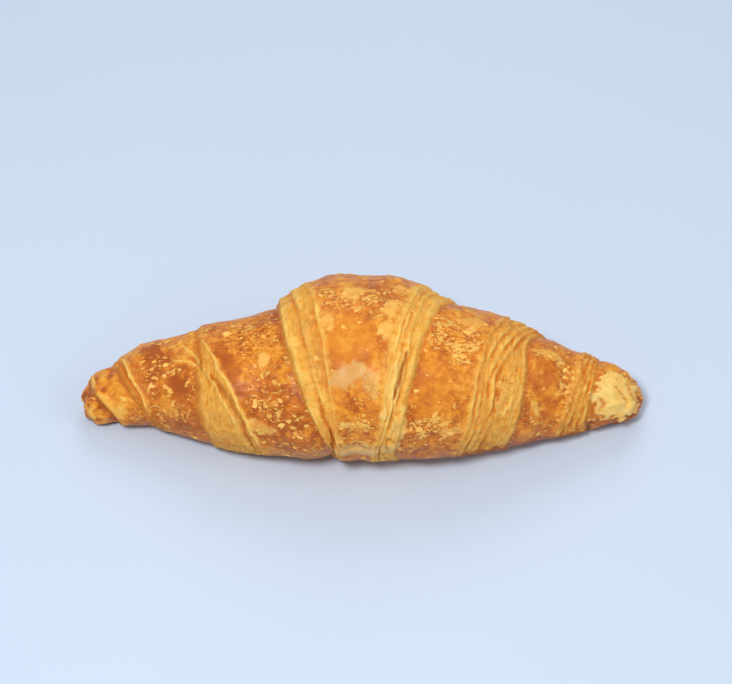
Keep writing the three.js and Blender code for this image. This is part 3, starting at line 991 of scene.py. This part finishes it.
def floor_material(colours):
    """A plain matt table top with a faint cloudiness."""
    material = new_material("table_top")
    tree = material.node_tree
    shader = tree.nodes["Principled BSDF"]
    shader.inputs["Roughness"].default_value = 0.85
    cloudy = node(tree, "ShaderNodeTexNoise", (-600, 0))
    cloudy.inputs["Scale"].default_value = 9
    place = node(tree, "ShaderNodeTexCoord", (-800, 0))
    tree.links.new(place.outputs["Object"], cloudy.inputs["Vector"])
    lighter = tuple(min(1, 1.03 * v) for v in colours.floor)
    colour = mixed(tree, cloudy.outputs["Fac"], (*colours.floor, 1), (*lighter, 1), (-300, 0))
    tree.links.new(colour, shader.inputs["Base Color"])
    return material


def shared_groups(colours):
    """The node groups that more than one material uses, built once."""
    shared = bpy.data.node_groups
    return shared.get("Browning") or browning_group(colours), shared.get("Crust grain") or grain_group()


def new_material(name):
    """A new material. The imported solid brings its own, so a name already taken is an error."""
    if name in bpy.data.materials:
        raise RuntimeError(f"there is already a material named {name}")
    material = bpy.data.materials.new(name)
    material.use_nodes = True
    return material


# Flakes.

FLAKE_KINDS = 6
FLAKE_CORNERS = 9
FLAKE_CURL = 0.05  # how far a flake's rim curls up, as a share of its size
FLAKE_LEAN = 0.16  # how far a flake leans out of the crust's plane at most, in radians
FLAKE_TURN = 0.9  # how far it turns away from lying along X at most, in radians
SIZE_SKEW = 2.5  # how much commoner small flakes are than large ones


def flake_shape(number, sizes):
    """A thin, closed, jagged scale of crust, about 2 across, lying flat with its upper side up."""
    rng = np.random.default_rng(500 + number)
    turn = np.arange(FLAKE_CORNERS) * math.tau / FLAKE_CORNERS + rng.uniform(-0.3, 0.3, FLAKE_CORNERS)
    reach = rng.uniform(0.35, 1.3, FLAKE_CORNERS)
    stretch = rng.uniform(0.3, 0.8)
    rim = [(r * math.cos(t), stretch * r * math.sin(t), FLAKE_CURL * r * r) for r, t in zip(reach, turn)]
    mesh = bmesh.new()
    top = [mesh.verts.new((x, y, z + sizes.flake_thickness)) for x, y, z in rim]
    low = [mesh.verts.new((x * 0.96, y * 0.96, z - 0.05)) for x, y, z in rim]
    crown = mesh.verts.new((0, 0, sizes.flake_thickness))
    root = mesh.verts.new((0, 0, -0.08))
    for k in range(FLAKE_CORNERS):
        after = (k + 1) % FLAKE_CORNERS
        mesh.faces.new((crown, top[k], top[after]))
        mesh.faces.new((root, low[after], low[k]))
        mesh.faces.new((top[k], low[k], low[after], top[after]))
    data = bpy.data.meshes.new(f"flake_{number}")
    mesh.to_mesh(data)
    mesh.free()
    return bpy.data.objects.new(f"flake_{number}", data)


def flake_tree(shapes, material):
    """Scatters the flakes over the crust, more where the attribute "flaky" is high."""
    tree = bpy.data.node_groups.new("Crust flakes", "GeometryNodeTree")
    face = tree.interface
    face.new_socket("Geometry", in_out="INPUT", socket_type="NodeSocketGeometry")
    face.new_socket("Geometry", in_out="OUTPUT", socket_type="NodeSocketGeometry")
    for label in ("Density", "Spacing", "Smallest", "Largest"):
        face.new_socket(label, in_out="INPUT", socket_type="NodeSocketFloat")
    given = node(tree, "NodeGroupInput", (-1000, 0))
    made = node(tree, "NodeGroupOutput", (1000, 0))
    link = tree.links.new
    where = node(tree, "GeometryNodeInputNamedAttribute", (-1000, -300), data_type="FLOAT")
    where.inputs["Name"].default_value = "flaky"
    spread = node(tree, "GeometryNodeDistributePointsOnFaces", (-600, 0), distribute_method="POISSON")
    spread.inputs["Seed"].default_value = 12
    link(given.outputs["Geometry"], spread.inputs["Mesh"])
    link(given.outputs["Spacing"], spread.inputs["Distance Min"])
    link(given.outputs["Density"], spread.inputs["Density Max"])
    link(where.outputs["Attribute"], spread.inputs["Density Factor"])
    kinds = node(tree, "GeometryNodeCollectionInfo", (-600, -300))
    kinds.inputs["Collection"].default_value = shapes
    kinds.inputs["Separate Children"].default_value = True
    kinds.inputs["Reset Children"].default_value = True
    spin = node(tree, "FunctionNodeRandomValue", (-600, -550), data_type="FLOAT_VECTOR")
    spin.inputs["Min"].default_value = (-FLAKE_LEAN, -FLAKE_LEAN, -FLAKE_TURN)
    spin.inputs["Max"].default_value = (FLAKE_LEAN, FLAKE_LEAN, FLAKE_TURN)
    spin.inputs["Seed"].default_value = 3
    turn = node(tree, "FunctionNodeEulerToRotation", (-400, -550))
    link(spin.outputs[0], turn.inputs[0])
    along = node(tree, "FunctionNodeAlignRotationToVector", (-400, -400), axis="X", pivot_axis="Z")
    along.inputs["Vector"].default_value = (1, 0, 0)
    link(spread.outputs["Rotation"], along.inputs["Rotation"])
    lie = node(tree, "FunctionNodeRotateRotation", (-200, -400), rotation_space="LOCAL")
    link(along.outputs[0], lie.inputs["Rotation"])
    link(turn.outputs[0], lie.inputs["Rotate By"])
    chance = node(tree, "FunctionNodeRandomValue", (-800, -800), data_type="FLOAT")
    chance.inputs["Seed"].default_value = 5
    size = node(tree, "ShaderNodeMapRange", (-400, -800))
    link(maths(tree, "POWER", chance.outputs[1], SIZE_SKEW, (-600, -800)), size.inputs["Value"])
    link(given.outputs["Smallest"], size.inputs["To Min"])
    link(given.outputs["Largest"], size.inputs["To Max"])
    put = node(tree, "GeometryNodeInstanceOnPoints", (100, 0))
    put.inputs["Pick Instance"].default_value = True
    link(spread.outputs["Points"], put.inputs["Points"])
    link(kinds.outputs[0], put.inputs["Instance"])
    link(lie.outputs[0], put.inputs["Rotation"])
    link(size.outputs["Result"], put.inputs["Scale"])
    shade = node(tree, "FunctionNodeRandomValue", (100, -300), data_type="FLOAT")
    shade.inputs["Seed"].default_value = 8
    tint = node(tree, "GeometryNodeStoreNamedAttribute", (250, 0), data_type="FLOAT", domain="INSTANCE")
    tint.inputs["Name"].default_value = "tint"
    link(shade.outputs[1], tint.inputs["Value"])
    link(put.outputs[0], tint.inputs["Geometry"])
    real = node(tree, "GeometryNodeRealizeInstances", (400, 0))
    dress = node(tree, "GeometryNodeSetMaterial", (700, 0))
    dress.inputs["Material"].default_value = material
    link(tint.outputs[0], real.inputs[0])
    link(real.outputs[0], dress.inputs["Geometry"])
    link(dress.outputs[0], made.inputs[0])
    return tree


def grown(name, source, tree, values):
    """The plain mesh that a node tree makes from a copy of an object."""
    copy = bpy.data.objects.new(name + "_source", source.data.copy())
    bpy.context.scene.collection.objects.link(copy)
    modifier = copy.modifiers.new("nodes", "NODES")
    modifier.node_group = tree
    sockets = {i.name: i.identifier for i in tree.interface.items_tree if i.in_out == "INPUT"}
    for label, value in values.items():
        modifier[sockets[label]] = value
    graph = bpy.context.evaluated_depsgraph_get()
    mesh = bpy.data.meshes.new_from_object(copy.evaluated_get(graph))
    mesh.name = name
    copy.modifiers.clear()
    bpy.data.objects.remove(copy)
    obj = bpy.data.objects.new(name, mesh)
    bpy.context.scene.collection.objects.link(obj)
    return obj


def part_of_croissant(piece):
    """Makes a finished piece move with the croissant's body."""
    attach(piece, BODY)


def size_of(name, description, default):
    return bpy.props.FloatProperty(name=name, description=description, default=default, min=0)


def length_of(name, description, default):
    return bpy.props.FloatProperty(name=name, description=description, default=default, min=0, unit="LENGTH")


def colour_of(name, description, default):
    return bpy.props.FloatVectorProperty(
        name=name, description=description, default=default, subtype="COLOR", size=3, min=0, max=1
    )


class CroissantSizes(bpy.types.PropertyGroup):
    """Sizes of the crust's relief, in millimetres, and of its flakes."""

    bead: size_of("Leaf bead", "How thick each leaf's edge is", 0.4)
    groove: size_of("Leaf groove", "How deep the gap is under a leaf's edge", 0.4)
    overhang: size_of("Overhang", "How far a leaf's edge hangs out", 0.3)
    sheet: size_of("Sheet lines", "Height of the fine lines between sheets", 0.15)
    lump: size_of("Lumps", "Height of the broad swellings", 0.5)
    wrinkle: size_of("Wrinkles", "Height of the ripples in the crust", 0.22)
    crumple: size_of("Crumples", "Height of the crumpling of the leaves", 0.4)
    crumb: size_of("Crumb", "Height of the finest roughness", 0.12)
    blister: size_of("Blisters", "How far lifted patches of crust stand up", 0.14)
    tip_lump: size_of("Tip lumps", "Height of the lumps at the two tips", 1.2)
    dome: size_of("Pale dome", "How far the pale tip swells", 0.6)
    flake_thickness: size_of("Flake thickness", "Thickness of a loose flake, as a share of its size", 0.06)
    flake_density: size_of("Flake density", "Loose flakes per square metre at most", 900000)
    flake_spacing: length_of("Flake spacing", "Least distance between flakes", 0.0010)
    flake_small: length_of("Smallest flake", "Half length of the smallest flake", 0.0003)
    flake_large: length_of("Largest flake", "Half length of the largest flake", 0.0014)


class CroissantColours(bpy.types.PropertyGroup):
    """Colours of the crust, from barely baked to dark, and of its leaves and marks, and of the painted shade
    in its valleys and creases.
    """

    pale: colour_of("Pale", "Barely baked dough", (0.93, 0.55, 0.115))
    golden: colour_of("Golden", "Lightly baked crust", (0.88, 0.40, 0.045))
    amber: colour_of("Amber", "Well baked crust", (0.77, 0.26, 0.02))
    deep: colour_of("Deep", "Deep brown crust", (0.60, 0.16, 0.014))
    dark: colour_of("Dark", "Darkest red-brown crust", (0.42, 0.095, 0.01))
    layer_golden: colour_of("Leaf golden", "Darker sheets in the layered edges", (0.92, 0.44, 0.048))
    layer_pale: colour_of("Leaf pale", "Paler sheets in the layered edges", (0.97, 0.635, 0.15))
    fleck: colour_of("Fleck", "Pale scales on the crust", (0.95, 0.57, 0.13))
    cloud: colour_of("Cloud", "Whitish film where the crust lifted", (0.73, 0.46, 0.155))
    cream: colour_of("Cream", "The pale tip", (0.97, 0.68, 0.21))
    cream_shade: colour_of("Cream shade", "Deeper places in the pale tip", (0.93, 0.56, 0.12))
    # Stain and painted shade in the valleys between the leaves.
    valley: colour_of("Valley", "Stained valleys between leaves", (0.64, 0.175, 0.016))
    # Painted shade in the depths of the creases.
    crease: colour_of("Crease", "Depths of the creases", (0.36, 0.095, 0.012))
    floor: colour_of("Floor", "The table", (0.57, 0.675, 0.84))


class CROISSANT_OT_body(bpy.types.Operator):
    """Makes the croissant's crust, with its wraps, leaves, creases and marks"""

    bl_idname = "croissant.body"
    bl_label = "Make crust"

    def execute(self, context):
        body = make_body(context.scene.croissant_sizes)
        colours = context.scene.croissant_colours
        body.data.materials.append(crust_material(colours, *shared_groups(colours)))
        part_of_croissant(body)
        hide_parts(NODE)
        return {"FINISHED"}


class CROISSANT_OT_flakes(bpy.types.Operator):
    """Scatters loose flakes over the crust"""

    bl_idname = "croissant.flakes"
    bl_label = "Scatter flakes"

    def execute(self, context):
        sizes = context.scene.croissant_sizes
        body = bpy.data.objects.get("croissant_crust")
        if body is None:
            raise RuntimeError("make the crust before its flakes")
        count = len(body.data.vertices)
        read = {}
        for name in ("crowd", "crease", "pale", "under", "cream", "valley", "edge_pale"):
            read[name] = np.empty(count, np.float32)
            body.data.attributes[name].data.foreach_get("value", read[name])
        # More flakes where the crust is crowded with scales or lifted, fewer in creases and on pale dough.
        flaky = 0.6 * np.maximum(read["crowd"] - 0.3, 0) ** 1.5 + 0.5 * read["pale"] + 0.05
        flaky -= read["crease"] + read["cream"] + 0.5 * read["valley"] + 0.1 * read["edge_pale"]
        flaky = np.clip(flaky, 0, 1)
        flaky *= 1 - np.clip(read["under"], 0, 1)
        layer = body.data.attributes.new("flaky", "FLOAT", "POINT")
        layer.data.foreach_set("value", flaky.astype(np.float32))
        shapes = bpy.data.collections.new("flake_shapes")
        for number in range(FLAKE_KINDS):
            shapes.objects.link(flake_shape(number, sizes))
        colours = context.scene.croissant_colours
        tree = flake_tree(shapes, flake_material(colours, *shared_groups(colours)))
        values = {
            "Density": sizes.flake_density, "Spacing": sizes.flake_spacing,
            "Smallest": sizes.flake_small, "Largest": sizes.flake_large,
        }
        flakes = grown("crust_flakes", body, tree, values)
        for shape in list(shapes.objects):
            bpy.data.objects.remove(shape)
        bpy.data.collections.remove(shapes)
        if not len(flakes.data.polygons):
            raise RuntimeError("no flakes were made")
        part_of_croissant(flakes)
        return {"FINISHED"}


CAMERA_HEIGHT = 50  # degrees above level
CAMERA_AWAY = 0.9
LENS = 150
SENSOR = 36
LOOK_RIGHT = 0.0011  # how far right of the croissant's middle the camera looks
LOOK_UP = 0.706  # and how far up it, as a share of its height
TABLE_HALF = 3.0
ROOM_COLOUR = (0.97, 0.975, 1.0, 1)
ROOM_STRENGTH = 0.36
# Soft lights: name, direction round the croissant and height in degrees, distance, width, power, colour.
LIGHTS = [
    ("key", -25, 60, 0.85, 0.22, 4.7, (1.0, 0.98, 0.95)),
    ("fill", 70, 40, 0.9, 0.6, 1.3, (1.0, 0.99, 0.97)),
    ("back", 175, 45, 0.95, 0.6, 2.0, (1.0, 0.99, 0.98)),
]


def direction(azimuth, elevation):
    """The direction at so many degrees to the right of the front and above level."""
    a, e = math.radians(azimuth), math.radians(elevation)
    return Vector((math.sin(a) * math.cos(e), -math.cos(a) * math.cos(e), math.sin(e)))


def looking(obj, place, target):
    """Puts a light or a camera at a place, turned to its target."""
    obj.location = place
    obj.rotation_euler = (target - place).to_track_quat("-Z", "Y").to_euler()
    bpy.context.scene.collection.objects.link(obj)


class CROISSANT_OT_stage(bpy.types.Operator):
    """Makes the pale table, the soft lights and the camera"""

    bl_idname = "croissant.stage"
    bl_label = "Set the stage"

    def execute(self, context):
        scene = context.scene
        corners = [(x * TABLE_HALF, y * TABLE_HALF, LOW[2]) for x, y in ((-1, -1), (1, -1), (1, 1), (-1, 1))]
        floor = mesh_object("table", corners, [(0, 1, 2, 3)])
        floor.data.materials.append(floor_material(context.scene.croissant_colours))
        middle = (LOW + HIGH) / 2
        for name, azimuth, elevation, away, width, power, colour in LIGHTS:
            lamp = bpy.data.lights.new(name, "AREA")
            lamp.shape = "DISK"
            lamp.size = width
            lamp.energy = power
            lamp.color = colour
            looking(bpy.data.objects.new(name, lamp), middle + direction(azimuth, elevation) * away, middle)
        world = bpy.data.worlds.new("soft_room")
        world.use_nodes = True
        room = world.node_tree.nodes["Background"]
        room.inputs["Color"].default_value = ROOM_COLOUR
        room.inputs["Strength"].default_value = ROOM_STRENGTH
        scene.world = world
        scene.view_settings.view_transform = "Standard"
        lens = bpy.data.cameras.new("camera")
        lens.lens = LENS
        lens.sensor_width = SENSOR
        camera = bpy.data.objects.new("camera", lens)
        target = Vector((middle.x + LOOK_RIGHT, middle.y, LOW[2] + LOOK_UP * (HIGH - LOW)[2]))
        looking(camera, target + direction(0, CAMERA_HEIGHT) * CAMERA_AWAY, target)
        scene.camera = camera
        return {"FINISHED"}


class CROISSANT_PT_panel(bpy.types.Panel):
    """Lists the croissant's sizes, colours and steps"""

    bl_idname = "CROISSANT_PT_panel"
    bl_label = "Croissant"
    bl_space_type = "VIEW_3D"
    bl_region_type = "UI"
    bl_category = "Croissant"

    def draw(self, context):
        for values in (context.scene.croissant_sizes, context.scene.croissant_colours):
            for name in values.__annotations__:
                self.layout.prop(values, name)
        for step in STEPS:
            self.layout.operator(step.bl_idname)


STEPS = (CROISSANT_OT_body, CROISSANT_OT_flakes, CROISSANT_OT_stage)
CLASSES = (CroissantSizes, CroissantColours, *STEPS, CROISSANT_PT_panel)


def register():
    for cls in CLASSES:
        bpy.utils.register_class(cls)
    bpy.types.Scene.croissant_sizes = bpy.props.PointerProperty(type=CroissantSizes)
    bpy.types.Scene.croissant_colours = bpy.props.PointerProperty(type=CroissantColours)


def unregister():
    del bpy.types.Scene.croissant_sizes
    del bpy.types.Scene.croissant_colours
    for cls in reversed(CLASSES):
        bpy.utils.unregister_class(cls)


def main():
    register()
    bpy.ops.croissant.body()
    bpy.ops.croissant.flakes()
    bpy.ops.croissant.stage()


if __name__ == "__main__":
    main()
